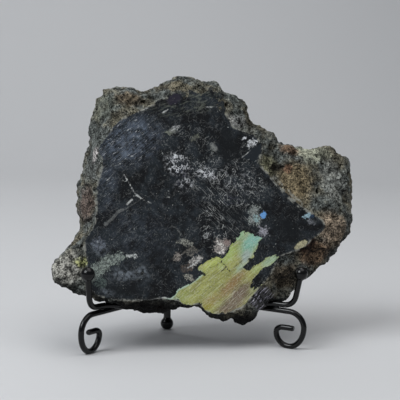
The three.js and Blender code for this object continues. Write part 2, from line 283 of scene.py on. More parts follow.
class Finish(Tree):
    # A material being built. Its place is in millimetres, on the axes of the polished face.
    def __init__(self, name):
        self.material = bpy.data.materials.new(name)
        self.material.use_nodes = True
        super().__init__(self.material.node_tree)
        self.shader = self.nodes["Principled BSDF"]
        self.place = self.make("ShaderNodeMapping", {"vector_type": "TEXTURE"}, {
            "Vector": self.make("ShaderNodeTexCoord", output="Object"), "Location": faceMiddle,
            "Rotation": (math.pi / 2 - lean, 0, 0), "Scale": (mm, mm, mm)})

    def blend(self, share, first, second):
        # Two colours mixed. A plain one is given as it shows on a screen.
        pair = [tone(*colour) if isinstance(colour, tuple) else colour for colour in (first, second)]
        return self.make("ShaderNodeMix", {"data_type": "RGBA"}, {0: share, 6: pair[0], 7: pair[1]}, 2)

    def lay(self, mask, under, layer):
        # A layer is its colour and its strength.
        return self.blend(mask * layer[1], under, layer[0])

    def noise(self, size, seed, detail=2.0, roughness=0.55, at=None):
        return self.make("ShaderNodeTexNoise", {"noise_dimensions": "4D"}, {
            "Vector": at or self.place, "W": seed * seedStep, "Scale": 1 / size, "Detail": detail,
            "Roughness": roughness})

    def stretched(self, angle, length, width, at=None, centre=(0, 0, 0), depth=None):
        # The place in units of length and width, along and across an angle on the face.
        return self.make("ShaderNodeMapping", {"vector_type": "TEXTURE"}, {
            "Vector": at or self.place, "Location": centre, "Rotation": (0, 0, math.radians(angle)),
            "Scale": (length, width, depth or width)})

    def streaks(self, angle, length, width, seed, detail=1.0):
        return self.noise(1.0, seed, detail, at=self.stretched(angle, length, width, depth=4 * width))

    def blob(self, centre, reach, angle, core, at=None):
        # 1 inside an oval on the stone, falling to 0 at its edge.
        near = self.stretched(angle, *reach, at, (*centre, 0)[:3], ovalDepth)
        ball = self.make("ShaderNodeTexGradient", {"gradient_type": "SPHERICAL"}, {"Vector": near}, "Fac")
        return ball.eased(0.0, 1 - core)

    def area(self, name, at=None):
        # The ovals of one part of the figure together.
        def oval(centre, reach, angle, core, strength):
            mask = self.blob(centre, reach, angle, core, at)
            return mask if strength == 1 else mask * strength
        return strongest(oval(*row) for row in figure[name])

    def ownNumber(self, cells):
        # A number from 0 to 1 that belongs to a whole cell.
        return self.make("ShaderNodeSeparateColor", sockets={0: cells.also("Color")}, output="Blue")

    def needles(self, cell, width, length, seed, flat=True):
        # One straight needle in each cell, each lying its own way and with its own brightness.
        at = self.make("ShaderNodeMapping", sockets={
            "Vector": self.place, "Location": (seed * 31.7, seed * 17.3, 0),
            "Scale": (1, 1, 0 if flat else 1)})
        cells = self.make("ShaderNodeTexVoronoi", {"voronoi_dimensions": "2D" if flat else "3D"},
                          {"Vector": at, "Scale": 1 / cell})
        heading = self.vector("SUBTRACT", cells.also("Color"), (0.5, 0.5, 0.5))
        if flat:
            heading = self.vector("MULTIPLY", heading, (1, 1, 0))
        heading = self.vector("NORMALIZE", heading, (0, 0, 0))
        local = self.vector("SUBTRACT", at, cells.also("Position"))
        along = self.vector("DOT_PRODUCT", local, heading, "Value")
        aside = self.vector("SUBTRACT", local, self.vector("SCALE", heading, along))
        across = self.vector("LENGTH", aside, (0, 0, 0), "Value")
        own = self.ownNumber(cells)
        return across.eased(width, width * 0.4) * along.size().eased(length, length * 0.6) * own

    def felt(self, kinds, flat=True):
        # Needles of several kinds: size of cell, half width, half length, seed.
        return strongest(self.needles(*kind, flat) for kind in kinds)

    def wavering(self, size, seed, shift):
        # The place, shaken by up to half the shift each way.
        shaken = self.vector("SUBTRACT", self.noise(size, seed, 3.0).also("Color"), (0.5, 0.5, 0.5))
        return self.vector("ADD", self.place, self.vector("SCALE", shaken, shift))

    def reach(self, name):
        return self.make("ShaderNodeAttribute", {"attribute_name": name}, output="Fac")

    def facingUp(self):
        # From -1 where the surface faces down to 1 where it faces up.
        normal = self.make("ShaderNodeNewGeometry", output="Normal")
        return self.make("ShaderNodeSeparateXYZ", sockets={0: normal}, output="Z")

    def bump(self, height, strength, distance):
        return self.make("ShaderNodeBump", sockets={
            "Height": height, "Strength": strength, "Distance": distance})

    def finish(self, **sockets):
        for name, value in sockets.items():
            self.feed(self.shader.inputs[name.replace("_", " ")], value)
        return self.material


# Stand finish

paintLook = {
    "black": (6, 6, 7),
    "wearAndEdgeHighlight": ((84, 66, 52), 0.5),       # colour and strength
    "dust": (128, 124, 120), "dustShare": 0.06,
    "gloss": 0.13, "glossRange": 0.1, "chipRoughness": 0.3,
    "peel": 0.12, "peelDepth": 0.2,    # strength, and millimetres
    "specular": 0.32,
}


def satinPaint():
    paint, look = Finish("satin_black_paint"), paintLook
    cloudy = paint.noise(6.0, 1)
    peel = paint.noise(0.9, 2, detail=3.0)
    chips = paint.noise(1.6, 3, detail=4.0).eased(0.67, 0.72) * paint.noise(14.0, 4).eased(0.52, 0.62)
    dusty = paint.facingUp().eased(0.35, 1.0) * paint.noise(1.1, 5, detail=4.0).eased(0.45, 0.75)
    dust = dusty * look["dustShare"]
    colour = paint.lay(chips, look["black"], look["wearAndEdgeHighlight"])
    colour = paint.blend(dust, colour, look["dust"])
    gloss = cloudy.eased(0.3, 0.7, (look["gloss"], look["gloss"] + look["glossRange"]))
    gloss = gloss + dust + chips * look["chipRoughness"]
    bump = paint.bump(peel - chips * 0.6, look["peel"], look["peelDepth"] * mm)
    return paint.finish(Base_Color=colour, Roughness=gloss, Normal=bump, Specular_IOR_Level=look["specular"])


# Wires of the stand. Millimetres from the point of the V: outward along a leg, and up.

stand = {
    "wireRadius": 1.5, "spread": math.radians(48), "runHeight": 20.3, "runStart": 0.4, "runEnd": 71.5,
    "kneeReach": 8.9, "kneeDrop": 8.5, "scrollBottom": 72.5, "scrollInner": 65.0,
    "scrollInnerHeight": 8.8, "curlTop": 68.8, "curlTopHeight": 11.4, "stubEnd": 74.8,
    "armBack": 41.0, "armBend": 74.0, "armBendRadius": 6.0, "armTip": 76.9, "armTipHeight": 41.3,
    "armGap": 0.2, "ballRadius": 3.6, "postRadius": 2.0, "postFootY": 1.3, "postTopY": 7.0,
    "postTopHeight": 84.0, "filedFlat": 0.35, "wireSides": 28, "step": 0.7,
}
footMiddle = (footBallLow + footBallHigh) / 2
corner = Vector((footMiddle.x, footMiddle.y - stand["postFootY"] * mm, -stand["filedFlat"] * mm))


def legHeading(side):
    return np.array([side * math.sin(stand["spread"]), -math.cos(stand["spread"]), 0.0])


def legPlace(side, out, up):
    return legHeading(side) * out + np.array([0.0, 0.0, up])


def legInward(side):
    return np.array([-side * math.cos(stand["spread"]), -math.sin(stand["spread"]), 0.0])


def bend(side, middle, reach, fromAngle, toAngle):
    # A quarter of an ellipse in the leg's upright plane.
    angles = np.radians(np.linspace(fromAngle, toAngle, 16))
    return [legPlace(side, middle[0] + reach[0] * math.cos(a), middle[1] + reach[1] * math.sin(a))
            for a in angles]


def legPath(side):
    s = stand
    knee = s["runHeight"] - s["kneeDrop"]
    outermost = s["runEnd"] + s["kneeReach"]
    low, inner, curl = s["scrollBottom"], s["scrollInner"], s["curlTop"]
    height = s["scrollInnerHeight"]
    path = [legPlace(side, s["runStart"], s["runHeight"]), legPlace(side, s["armBack"], s["runHeight"])]
    path += bend(side, (s["runEnd"], knee), (s["kneeReach"], s["kneeDrop"]), 90, 0)
    scroll = (
        ((low, knee), (outermost - low, knee - s["wireRadius"]), 0, -90),
        ((low, height), (low - inner, height - s["wireRadius"]), -90, -180),
        ((curl, height), (curl - inner, s["curlTopHeight"] - height), 180, 90))
    for quarter in scroll:
        path += bend(side, *quarter)[1:]
    path.append(legPlace(side, s["stubEnd"], s["curlTopHeight"]))
    return path


def armCorner(side):
    return legPlace(side, stand["armBend"], stand["runHeight"] + 2 * stand["wireRadius"] + stand["armGap"])


def armBall(side):
    return legPlace(side, stand["armTip"], stand["armTipHeight"])


def armPath(side):
    # Beside the leg at the back, on top of it in front, then up to the ball.
    s = stand
    apart = 2 * s["wireRadius"] + s["armGap"]
    path = []
    for t in np.linspace(0, 1, 24):
        climb = math.radians(90 * t * t * (3 - 2 * t))
        out = s["armBack"] + (s["armBend"] - s["armBendRadius"] - s["armBack"]) * t
        above = legPlace(side, out, s["runHeight"] + apart * math.sin(climb))
        path.append(above + legInward(side) * apart * math.cos(climb))
    turn, tip = armCorner(side), armBall(side)
    before = turn - legHeading(side) * s["armBendRadius"]
    after = turn + (tip - turn) * s["armBendRadius"] / np.linalg.norm(tip - turn)
    for t in np.linspace(0, 1, 14)[1:]:
        path.append(before * (1 - t) ** 2 + turn * 2 * t * (1 - t) + after * t * t)
    path.append(tip)
    return path


footBall = np.array([0.0, stand["postFootY"], stand["ballRadius"]])
topBall = np.array([0.0, stand["postTopY"], stand["postTopHeight"]])


def placed(places):
    # From the stand's millimetres to the frame's metres.
    return np.array(places) * mm + np.array(corner)


def wireTree():
    # A rod with closed, slightly rounded ends along a curve.
    group, tree, given = newGroup("rodAlongPath", {"Rod Radius": "Float", "Sides": "Int", "Step": "Float"})
    radius = given.also("Rod Radius")
    line = tree.make("GeometryNodeResampleCurve", {"mode": "LENGTH"},
                     {"Curve": given, "Length": given.also("Step")})
    along = tree.make("GeometryNodeSplineParameter", output="Length")
    fromEnd = along.least(tree.make("GeometryNodeSplineLength") - along)
    rounding = fromEnd.eased(0.0, radius * 0.6, (0.8, 1.0))
    ring = tree.make("GeometryNodeCurvePrimitiveCircle", {"mode": "RADIUS"},
                     {"Resolution": given.also("Sides"), "Radius": radius})
    rod = tree.make("GeometryNodeCurveToMesh", sockets={
        "Curve": line, "Profile Curve": ring, "Scale": rounding, "Fill Caps": True})
    endGroup(tree, given, tree.make("GeometryNodeSetShadeSmooth", sockets={
        "Geometry": rod, "Shade Smooth": True}))
    return group


def grown(name, source, group, inputs):
    # The plain mesh that a node tree makes from an object, which is then removed.
    modifier = source.modifiers.new(name, "NODES")
    modifier.node_group = group
    for item in group.interface.items_tree:
        if item.in_out == "INPUT" and item.name in inputs:
            modifier[item.identifier] = inputs[item.name]
    bpy.context.view_layer.update()
    made = source.evaluated_get(bpy.context.evaluated_depsgraph_get())
    mesh = bpy.data.meshes.new_from_object(made)
    mesh.name = name
    bpy.data.objects.remove(source)
    return mesh


def curveThrough(name, places):
    curve = bpy.data.curves.new(name, "CURVE")
    curve.dimensions = "3D"
    spline = curve.splines.new("POLY")
    spline.points.add(len(places) - 1)
    for point, place in zip(spline.points, places):
        point.co = (*place, 1.0)
    return newPiece(name, curve)


def meshPlaces(mesh):
    places = np.empty(len(mesh.vertices) * 3, np.float32)
    mesh.vertices.foreach_get("co", places)
    return places.reshape(-1, 3).astype(float)


def setPlaces(mesh, places):
    mesh.vertices.foreach_set("co", places.astype(np.float32).ravel())
    mesh.update()


def remeshed(name, source, voxel, smoothing=0):
    # The even closed skin over an object, which is then removed.
    skin = source.modifiers.new("skin", "REMESH")
    skin.mode = "VOXEL"
    skin.voxel_size = voxel * mm
    if smoothing:
        source.modifiers.new("even", "SMOOTH").iterations = smoothing
    mesh = bpy.data.meshes.new_from_object(source.evaluated_get(bpy.context.evaluated_depsgraph_get()))
    mesh.name = name
    bpy.data.objects.remove(source)
    return mesh


def setOnStand(name, mesh, node):
    # A rod or ball that stands for its solid, filed flat where it meets the floor.
    setPlaces(mesh, np.clip(meshPlaces(mesh), cadLow, cadHigh))
    piece = newPiece(name, mesh)
    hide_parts(node)
    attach(piece, "root")


def turnedMesh(name, profile, sides, foot, along):
    # A closed shape turned round an axis; profile is (distance along, radius), both ends at radius 0.
    along = Vector(along).normalized()
    turn = along.to_track_quat("Z", "Y")
    places, faces, rings = [], [], []
    for height, radius in profile:
        count = 1 if radius == 0 else sides
        rings.append((len(places), count))
        for i in range(count):
            angle = 2 * math.pi * i / sides
            out = Vector((radius * math.cos(angle), radius * math.sin(angle), height))
            places.append(Vector(foot) + turn @ out)
    for (low, lowCount), (high, highCount) in zip(rings, rings[1:]):
        for i in range(sides):
            j = (i + 1) % sides
            ring = [low + i % lowCount, low + j % lowCount, high + j % highCount, high + i % highCount]
            faces.append(list(dict.fromkeys(ring)))
    mesh = meshFrom(name, places, faces)
    mesh.shade_smooth()
    return mesh


def ballMesh(name, centre, rodFrom, rodRadius, finish):
    # A ball with the small collar of weld where its rod goes in.
    ball = stand["ballRadius"]
    towards = (np.array(rodFrom) - centre) / np.linalg.norm(np.array(rodFrom) - centre)
    neck = rodRadius * 1.12
    profile = [(-ball, 0.0)]
    meets = math.acos((neck + 0.25) / ball)
    for step in range(1, 25):
        angle = -math.pi / 2 + (meets + math.pi / 2) * step / 24
        profile.append((ball * math.sin(angle), ball * math.cos(angle)))
    top = profile[-1][0]
    collar = ((0.15, neck + 0.08), (0.4, neck), (0.75, rodRadius * 1.04), (0.9, 0.0))
    profile += [(top + lift, radius) for lift, radius in collar]
    scaled = [(height * mm, radius * mm) for height, radius in profile]
    mesh = turnedMesh(name, scaled, 40, placed(centre), towards)
    mesh.materials.append(finish)
    return mesh


# Small runs of weld, in the stand's millimetres.

welds = {
    "armSpots": ((43.0, 2), (52.5, 38), (64.0, 86)),       # out along the leg, degrees round it
    "armSlides": (-0.9, -0.3, 0.4, 1.0), "armRadius": 1.05, "armThinning": 0.12,
    "legSpots": ((0.6, 1.95), (1.8, 1.85), (2.9, 1.7)),    # out along the leg, radius
    "postLifts": (-1.3, 0.0, 1.2), "postRadius": 2.35, "postThinning": 0.1, "postForward": 0.5,
    "voxel": 0.28, "smoothing": 4,
}


def weldBeads(finish):
    # Between each arm and its leg, and where both legs meet the post.
    w = welds
    spots = []
    for side in (-1, 1):
        for out, climb in w["armSpots"]:
            half = stand["wireRadius"] + stand["armGap"] / 2
            middle = legPlace(side, out, stand["runHeight"] + half * math.sin(math.radians(climb)))
            middle = middle + legInward(side) * half * math.cos(math.radians(climb))
            for slide in w["armSlides"]:
                radius = w["armRadius"] - w["armThinning"] * abs(slide)
                spots.append((middle + legHeading(side) * slide, radius))
        for out, radius in w["legSpots"]:
            spots.append((legPlace(side, out, stand["runHeight"]), radius))
    share = (stand["runHeight"] - footBall[2]) / (topBall[2] - footBall[2])
    joint = footBall + (topBall - footBall) * share
    for lift in w["postLifts"]:
        radius = w["postRadius"] - w["postThinning"] * abs(lift)
        spots.append((joint + np.array([0.0, -w["postForward"], lift]), radius))
    form = bmesh.new()
    for middle, radius in spots:
        bmesh.ops.create_icosphere(form, subdivisions=3, radius=radius * mm,
                                   matrix=Matrix.Translation(Vector(placed(middle))))
    mesh = bpy.data.meshes.new("wire_welds_form")
    form.to_mesh(mesh)
    form.free()
    made = remeshed("wire_welds", newPiece("wire_welds_form", mesh), w["voxel"], w["smoothing"])
    made.shade_smooth()
    piece = newPiece("wire_welds", made, finish)
    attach(piece, "root")


def makeStand():
    finish = satinPaint()
    rod = wireTree()
    sizes = {"Rod Radius": stand["wireRadius"] * mm, "Sides": stand["wireSides"],
             "Step": stand["step"] * mm, "Finish": finish}

    def setRod(name, path, node, radius=stand["wireRadius"]):
        source = curveThrough(name + "_path", placed(path))
        mesh = grown(name, source, rod, {**sizes, "Rod Radius": radius * mm})
        setOnStand(name, mesh, node)

    for word, side in (("left", -1), ("right", 1)):
        setRod(word + "_leg_wire", legPath(side), word + "_leg")
        setRod(word + "_arm_wire", armPath(side), word + "_arm")
        ball = ballMesh(word + "_arm_tip", armBall(side), armCorner(side), stand["wireRadius"], finish)
        setOnStand(word + "_arm_tip", ball, word + "_arm_ball")
    setRod("back_post_rod", [footBall, topBall], "back_post", stand["postRadius"])
    setOnStand("back_post_tip", ballMesh("back_post_tip", topBall, footBall, stand["postRadius"], finish),
               "back_post_ball")
    setOnStand("rear_foot", ballMesh("rear_foot", footBall, topBall, stand["postRadius"], finish),
               "rear_foot_ball")
    weldBeads(finish)


makeStand()
print("stand made")


# Markings of the polished face, in millimetres across and up from its middle.

patches = {
    "schiller": [
        (-17.5, -52.5), (-14, -53.5), (-11, -51.5), (-9.5, -49), (-4, -46.5), (1, -43.5), (4, -41),
        (3.5, -40), (1.5, -38), (6.5, -34), (12, -31.5), (15, -32.5), (16.5, -32.5), (19.5, -27),
        (22.5, -23.5), (26, -19), (28.5, -18.5), (31.5, -19), (33, -20.5), (38.5, -22), (35.5, -24.5),
        (34.5, -28), (32.5, -30), (32.5, -32), (29.5, -35), (26, -37), (28, -39), (30, -40), (33, -37),
        (38.5, -33), (45, -31), (46.5, -32), (42, -36), (36.5, -38.5), (34, -41.5), (32.5, -42.5),
        (29.5, -49), (32.5, -47.5), (31.5, -50), (37, -46.5), (34, -50.5), (28.5, -55.5), (27.5, -57.5),
        (23, -59), (16, -62), (14.5, -60.5), (11, -62.5), (7, -60.5), (4, -60), (2, -57.5), (3, -56),
        (-2, -57), (-6, -56.5), (-8, -55.5), (-9.5, -54), (-12.5, -55), (-15, -54.5)],
    "blueSpot": [
        (36.9, -9.9), (38.9, -7.5), (40.2, -7.8), (41, -9.2), (40.2, -10.2), (39.1, -11.7),
        (37.7, -11.1)],
    "greyTeal": [
        (30.4, -9.7), (31.1, -6.1), (33.8, -4.8), (36.8, -6), (37, -8.5), (38, -11.7), (36.8, -14.4),
        (32.2, -15.6), (30.6, -13.4)],
    "lilac": [
        (36.1, -18.6), (36.8, -15.9), (39, -16.3), (40.8, -16), (41, -20.3), (38.1, -21.2),
        (35.7, -19.4)],
    "whiteFelt": [
        (10.8, -22.9), (16.9, -22.2), (20, -23.4), (19.9, -25.2), (16.3, -29.9), (14.8, -30.5),
        (10.6, -28.7), (11.3, -25.8)],
    "greyFleck": [(4, -20), (8.5, -19.5), (9, -22), (7, -23.5), (4.5, -22.5)],
    "paleGreen": [
        (-57, -40), (-54.5, -36.5), (-51, -34.5), (-48, -32.5), (-43.5, -31), (-38.5, -30.5),
        (-36, -32.5), (-40.5, -35.5), (-44.5, -36), (-45.5, -38.5), (-47.5, -41.5), (-51, -43.5),
        (-55, -45)],
    "tanOval": [
        (56, -27.5), (57, -25.5), (59.5, -23.5), (62.5, -22.5), (64, -23.5), (62.5, -26), (59.5, -27.8),
        (57, -28.5)],
    "slateFacet": [(27.6, 21), (38.9, 29.2), (38.3, 24.1), (35.2, 19.7)],
    "plumSpot": [(-13, 50.5), (-11.5, 53), (-8.5, 54.5), (-5.5, 54), (-5, 51.5), (-8, 49), (-11.5, 48)],
    "iceBlue": [(61.1, -10.3), (67.1, -6.4), (66.4, -10.5), (63.4, -11.4)],
    "deepBlue": [(65.2, -11.1), (67.4, -6.7), (68.6, -10.8)],
    "smoothDark": [(15, 30.5), (18.5, 38.5), (23, 35), (25, 28), (25.5, 21), (18, 18), (14, 23)],
}

# Lines: half width, then points.
veins = {
    "whiteVein": [
        (0.38, [(-37.5, 11.3), (-34, 5.7), (-31.5, 1), (-30, -0.5)]), (0.6, [(-30.3, -0.3), (-28, -2)]),
        (0.3, [(-28, -2), (-26.5, -2.8), (-22.5, -4.5)]), (0.22, [(-28, 0.5), (-23.5, -1.5)]),
        (0.62, [(-35.5, -5.2), (-32.7, -2.6)]), (0.34, [(-34.8, 33.4), (-31.8, 35.1)]),
        (0.4, [(-26, 45), (-23, 46)]), (0.45, [(-15.5, 43.6), (-12.6, 45.6)]),
        (0.3, [(8, 47.8), (10, 48)]), (0.35, [(10.6, 48), (13, 48.3)]),
        (0.3, [(-42.3, 14.4), (-40.9, 14.8)]), (0.3, [(-39.9, 15.1), (-38.4, 15.9)]),
        (0.3, [(-33.2, 20), (-31.8, 20)]), (0.26, [(-45.9, 6.8), (-44.2, 8.3)]),
        (0.3, [(-38.5, 7), (-37.5, 7)]), (0.32, [(-14, -1), (-12.8, -1)]), (0.2, [(6, 30), (9.6, 32)]),
        (0.5, [(-52, 24), (-51.2, 19.5)]), (0.3, [(-38.5, 38.8), (-43, 35)]),
        (0.3, [(-44.5, 32.3), (-48, 30.3)]), (0.25, [(-11.5, 34), (-8.5, 35.6)]),
        (0.3, [(28, 26.5), (31.5, 30)]), (0.3, [(27.5, 20.8), (33, 25.2)]),
        (0.35, [(33, -56), (37, -50.5), (39.5, -49)]), (0.25, [(30, -57.5), (33, -54)]),
        (0.55, [(-17.5, -53), (-13.6, -53.5)]), (0.4, [(-1, -36.5), (2.5, -33.5)]),
        (0.35, [(-4, -38), (-0.5, -35.8)])],
    "greyVein": [
        (0.85, [(-47, -16), (-43, -12.5), (-40, -9), (-37.5, -8)]),
        (0.3, [(-37.5, -8.5), (-30.5, -4), (-26.5, -1.5)]),
        (0.25, [(-51, 9), (-46.5, 13), (-39.5, 16.5), (-33, 19)]),
        (0.5, [(-12, -16), (-9, -17.5), (-7, -20.5)]),
        (0.25, [(-41, -44.5), (-36, -45.5), (-31.5, -44.5)]),
        (0.35, [(-31, -44), (-28, -41.5), (-26, -38)]), (0.5, [(-26, -54.8), (-17.5, -53)]),
        (1.6, [(11.5, 27.5), (13, 25.5)]), (1.0, [(-11.5, 34.5), (-9, 33.5)])],
    "crack": [
        (0.3, [(14.7, -34), (15.4, -35.8), (16.5, -36.3), (18.8, -39.8)]),
        (0.3, [(14.2, -39.8), (15.6, -38.8), (17, -37.4)]), (0.1, [(2, -44), (6.5, -47), (10, -51)]),
        (0.12, [(3.5, -40.5), (8, -38), (12.5, -36)]), (0.7, [(30.2, -33.2), (31, -34)]),
        (0.12, [(19, -39.5), (27, -33.5)]), (0.7, [(4, -40.6), (5.2, -41.4)]),
        (0.1, [(12.5, -36), (15, -34.5)]), (0.25, [(27.5, -19), (29.5, -21)])],
}


# Body of the stone. Sizes in millimetres.

stoneForm = {
    "voxel": 0.78,
    "sharpAngle": math.radians(38),
    "breakStart": 0.15,                # the rough sides begin this far outside the polished edge
    "breakFull": 1.4,
    "rodGap": 0.4,                     # no relief this near a rod
    "rodRoom": 1.6,                    # full relief from here on
    "relief": {
        "Lump Size": 8.0, "Lump Depth": 1.9, "Pebble Size": 3.8, "Pebble Height": 1.3,
        "Grain Size": 1.6, "Grain Height": 0.6, "Pit Size": 4.2, "Pit Depth": 1.7},
}
# Place on the stone, radius, depth; a swelling has its depth below 0.
hollows = [
    ((-44.4, 30.7, -0.8), 2.2, 1.4), ((-47, 29, -2.5), 2.4, 1.6), ((47.6, 16.9, -1.2), 3.2, 2.2),
    ((43.1, 18.9, -1.0), 2.4, 1.6), ((-33, 46.6, -1.2), 2.6, 1.6), ((-28.6, 47.8, -1.4), 2.2, 1.2),
    ((60.5, 25, -5), 3, 1.5), ((-60, -42, -3), 2.2, 1.2), ((82, -10, -4), 4, 1.6),
    ((-52.5, 10, -9), 3, 1.5), ((72, 6, -6), 4, 1.2), ((30, 50, -6), 2.5, 1.3),
    ((-45, 56, -12), 3.5, 1.4), ((-45.5, 57, -17), 4, 1.4), ((26, -66, -5.5), 5.5, -1.9),
    ((31.5, -62, -6), 6, -1.4), ((16.5, -63.5, -4), 4.5, -1.5), ((-43, -55, -4), 6, -1.7),
    ((-36, -56.5, -4.5), 6, -1.6), ((-29, -57.5, -5), 6, -1.3),
]


def onFace(places):
    # Across, up and out from the middle of the polished face, in millimetres.
    local = (places - np.array(faceMiddle)) / mm
    return np.stack([local[:, 0], local @ np.array(faceUp), local @ np.array(faceOut)], axis=1)


def gapToRun(places, start, end):
    # How far points lie from a straight run.
    run = end - start
    share = np.clip(((places - start) @ run) / max(run @ run, 1e-12), 0, 1)
    return np.linalg.norm(places - start - share[:, None] * run, axis=1)


def insideReach(places, starts, ends):
    # How far points lie inside a closed outline; outside it the number is negative.
    nearest = np.full(len(places), 1e9)
    inside = np.zeros(len(places), bool)
    for start, end in zip(starts, ends):
        nearest = np.minimum(nearest, gapToRun(places, start, end))
        if start[1] != end[1]:
            run = end - start
            crossed = (start[1] > places[:, 1]) != (end[1] > places[:, 1])
            inside ^= crossed & (places[:, 0] < start[0] + (places[:, 1] - start[1]) * run[0] / run[1])
    return np.where(inside, nearest, -nearest)


def lineReach(places, lines):
    # How far points lie inside the nearest of several lines with a width.
    best = np.full(len(places), -1e3)
    for half, points in lines:
        points = np.array(points, float)
        for start, end in zip(points, points[1:]):
            best = np.maximum(best, half - gapToRun(places, start, end))
    return best


def polishedOutline(mesh):
    # The edges round the solid's flat polished face, as two lists of points on it.
    places = onFace(meshPlaces(mesh))
    flat = [p.vertices for p in mesh.polygons if all(abs(places[v][2]) < 0.01 for v in p.vertices)]
    used = {}
    for corners in flat:
        for a, b in zip(corners, list(corners[1:]) + [corners[0]]):
            used[tuple(sorted((a, b)))] = used.get(tuple(sorted((a, b))), 0) + 1
    rim = [pair for pair, count in used.items() if count == 1]
    return places[[a for a, b in rim], :2], places[[b for a, b in rim], :2]


def rodClearance(places):
    # Distance from points to the surface of the nearest rod or ball, in millimetres.
    lines = []
    for side in (-1, 1):
        lines += [(legPath(side), stand["wireRadius"]), (armPath(side), stand["wireRadius"]),
                  ([armBall(side)], stand["ballRadius"])]
    lines += [([footBall, topBall], stand["postRadius"]), ([topBall], stand["ballRadius"])]
    clearance = np.full(len(places), 1e3)
    for path, radius in lines:
        path = placed(path)
        for start, end in zip(path, path[1:] if len(path) > 1 else path):
            clearance = np.minimum(clearance, gapToRun(places, start, end) / mm - radius)
    return clearance


def storeNumbers(mesh, name, numbers):
    layer = mesh.attributes.get(name) or mesh.attributes.new(name, "FLOAT", "POINT")
    layer.data.foreach_set("value", numbers.astype(np.float32))


def reliefTree():
    # Lumps, pebbles, grains and pits on the broken sides, as far as the share on each point allows.
    group, tree, given = newGroup("brokenRelief", {label: "Float" for label in stoneForm["relief"]})
    place = tree.make("GeometryNodeInputPosition")
    share = tree.make("GeometryNodeInputNamedAttribute", {"data_type": "FLOAT"}, {"Name": "brokenShare"})

    def noise(size, seed, detail):
        return tree.make("ShaderNodeTexNoise", {"noise_dimensions": "4D"}, {
            "Vector": place, "W": seed, "Scale": 1 / given.also(size), "Detail": detail})

    def cells(size):
        return tree.make("ShaderNodeTexVoronoi", sockets={"Vector": place, "Scale": 1 / given.also(size)})

    height = noise("Lump Size", 1.7, 3.0).eased(0.62, 0.3, (0.3, -0.7)) * given.also("Lump Depth")
    height = height + (0.45 - cells("Pebble Size")) * given.also("Pebble Height")
    height = height + (0.4 - cells("Grain Size")) * given.also("Grain Height")
    height = height - noise("Pit Size", 8.2, 4.0).eased(0.60, 0.68) * given.also("Pit Depth")
    lift = tree.vector("SCALE", tree.make("GeometryNodeInputNormal"), height * share)
    moved = tree.make("GeometryNodeSetPosition", sockets={"Geometry": given, "Offset": lift})
    kept = tree.make("GeometryNodeStoreNamedAttribute", {"data_type": "FLOAT", "domain": "POINT"}, {
        "Geometry": moved, "Name": "relief", "Value": height * share * 1000.0})
    endGroup(tree, given, kept)
    return group


def stoneMesh(finish):
    form = stoneForm
    solid = bpy.data.meshes.new("stone_merged")
    merged = bmesh.new()
    merged.from_mesh(frame["nodes"]["stone"].data)
    bmesh.ops.remove_doubles(merged, verts=merged.verts, dist=0.001 * mm)
    merged.to_mesh(solid)
    merged.free()
    rimStarts, rimEnds = polishedOutline(solid)
    mesh = remeshed("stone_skin", newPiece("stone_form", solid), form["voxel"])

    places = meshPlaces(mesh)
    local = onFace(places)
    reach = insideReach(local[:, :2], rimStarts, rimEnds)
    flat = (local[:, 2] > -0.75 * form["voxel"]) & (reach > -0.1)
    places[flat] -= np.outer(local[flat, 2] * mm, np.array(faceOut))
    setPlaces(mesh, places)

    local = onFace(places)
    outside = np.maximum(-reach, -local[:, 2] * 1.2)
    broken = np.clip((outside - form["breakStart"]) / (form["breakFull"] - form["breakStart"]), 0, 1)
    room = np.clip((rodClearance(places) - form["rodGap"]) / (form["rodRoom"] - form["rodGap"]), 0, 1)
    broken[flat] = 0
    storeNumbers(mesh, "brokenShare", broken * room)
    sizes = {label: size * mm for label, size in form["relief"].items()}
    source = newPiece("stone_relief", mesh)
    mesh = grown("polished_stone", source, reliefTree(), {**sizes, "Finish": finish})

    places = meshPlaces(mesh)
    normals = np.empty(len(mesh.vertices) * 3, np.float32)
    mesh.vertex_normals.foreach_get("vector", normals)
    normals = normals.reshape(-1, 3)
    for centre, radius, depth in hollows:
        near = np.linalg.norm(onFace(places) - np.array(centre), axis=1) / radius
        sink = np.where(near < 1, (1 - near ** 2) ** 2, 0) * depth * mm * room * (~flat)
        places -= normals * sink[:, None]
    places = np.clip(places, np.array(cadLow) + 0.05 * mm, np.array(cadHigh) - 0.05 * mm)
    setPlaces(mesh, places)

    local = onFace(places)
    face = local[:, :2]
    rim = insideReach(face, rimStarts, rimEnds)
    storeNumbers(mesh, "polish", np.minimum(rim, np.where(flat, 99.0, local[:, 2] * 1.2)))
    for name, outline in patches.items():
        corners = np.array(outline, float)
        storeNumbers(mesh, name, insideReach(face, corners, np.roll(corners, -1, axis=0)))
    for name, lines in veins.items():
        storeNumbers(mesh, name, lineReach(face, lines))
    mesh.shade_smooth()
    mesh.set_sharp_from_angle(angle=form["sharpAngle"])
    return mesh


# Colours of the stone, as they show on a screen. A layer is a colour and its strength.

